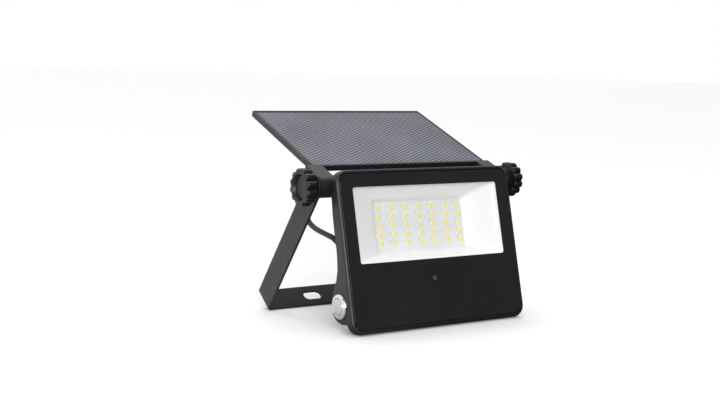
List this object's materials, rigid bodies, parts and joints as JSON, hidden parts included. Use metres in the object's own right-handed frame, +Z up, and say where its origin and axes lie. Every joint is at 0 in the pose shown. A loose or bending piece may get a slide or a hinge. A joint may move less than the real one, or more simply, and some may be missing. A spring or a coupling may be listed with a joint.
{
  "type": "solar floodlight",
  "caption": "Solar floodlight: LED lamp head with a glass front, folding solar panel and U bracket on one pivot, clamped by two lobed side knobs.",
  "frame": {"origin": "centre of the bounding box in plan, on the surface the light stands on", "axes": "+X along the pivot axis to the lamp's left-hand side when its lit face is looked out of, -Y the way the lamp shines, +Z up"},
  "size_m": [0.2392, 0.1834, 0.1831],
  "materials": {
    "housing_plastic": "satin black moulded plastic",
    "knob_plastic": "satin black moulded plastic",
    "knob_cap_plastic": "satin black",
    "panel_plastic": "satin black moulded plastic",
    "black_rubber": "matt black",
    "front_glass": "clear tempered glass",
    "glass_print": "gloss black printed border",
    "sensor_lens": "dark lens",
    "reflector_white": "white",
    "led_board": "white solder mask with yellow phosphor packages",
    "heat_spreader": "plain",
    "circuit_board": "green solder mask",
    "battery_wrap": "heat-shrink wrap",
    "button_chrome": "polished",
    "button_steel": "brushed",
    "fastener_steel": "plain",
    "insert_brass": "turned",
    "bracket_paint": "black powder coat",
    "solar_cells": "dark blue-grey cells under an embossed clear film"
  },
  "bodies": {
    "head": {"rear_housing": "housing_plastic", "front_bezel": "housing_plastic", "front_glass": "front_glass", "glass_mask": "glass_print", "glass_gasket": "black_rubber", "reflector": "reflector_white", "led_board": "led_board", "heat_spreader": "heat_spreader", "sensor_lens": "sensor_lens", "control_board": "circuit_board", "battery_cell_1": "battery_wrap", "battery_cell_2": "battery_wrap", "battery_tray": "housing_plastic", "button_bezel": "button_chrome", "cable_gland": "black_rubber", "vent_plug": "black_rubber", "housing_screw_1": "fastener_steel", "housing_screw_2": "fastener_steel", "housing_screw_3": "fastener_steel", "housing_screw_4": "fastener_steel", "pivot_insert_left": "insert_brass", "pivot_insert_right": "insert_brass", "friction_washer_left": "black_rubber", "friction_washer_right": "black_rubber", "panel_lead": "black_rubber"},
    "panel": {"panel_frame": "panel_plastic", "solar_laminate": "solar_cells", "junction_box": "panel_plastic", "junction_lid": "panel_plastic", "ear_bush_left": "black_rubber", "ear_bush_right": "black_rubber"},
    "bracket": {"bracket": "bracket_paint", "bracket_washer_left": "fastener_steel", "bracket_washer_right": "fastener_steel"},
    "knob_left": {"knob_left": "knob_plastic", "knob_cap_left": "knob_cap_plastic", "stud_left": "fastener_steel"},
    "knob_right": {"knob_right": "knob_plastic", "knob_cap_right": "knob_cap_plastic", "stud_right": "fastener_steel"},
    "button": {"button_cap": "button_steel"}
  },
  "joints": [
    {"name": "panel_tilt", "type": "hinge", "parent": "head", "child": "panel", "pos_m": [0, -0.03816, 0.12296], "axis": [1, 0, 0], "range_deg": [-120, 60], "deforming": ["panel_lead"]},
    {"name": "bracket_tilt", "type": "hinge", "parent": "head", "child": "bracket", "pos_m": [0, -0.03816, 0.12296], "axis": [1, 0, 0], "range_deg": [-90, 170]},
    {"name": "knob_left_turn", "type": "hinge", "parent": "head", "child": "knob_left", "pos_m": [0, -0.03816, 0.12296], "axis": [-1, 0, 0], "range_deg": [0, 720]},
    {"name": "knob_right_turn", "type": "hinge", "parent": "head", "child": "knob_right", "pos_m": [0, -0.03816, 0.12296], "axis": [1, 0, 0], "range_deg": [0, 720]},
    {"name": "button_push", "type": "slide", "parent": "head", "child": "button", "axis": [1, 0, 0], "range_m": [0, 0.0015], "stiffness_N_per_m": 1000, "springref_m": -0.001}
  ]
}
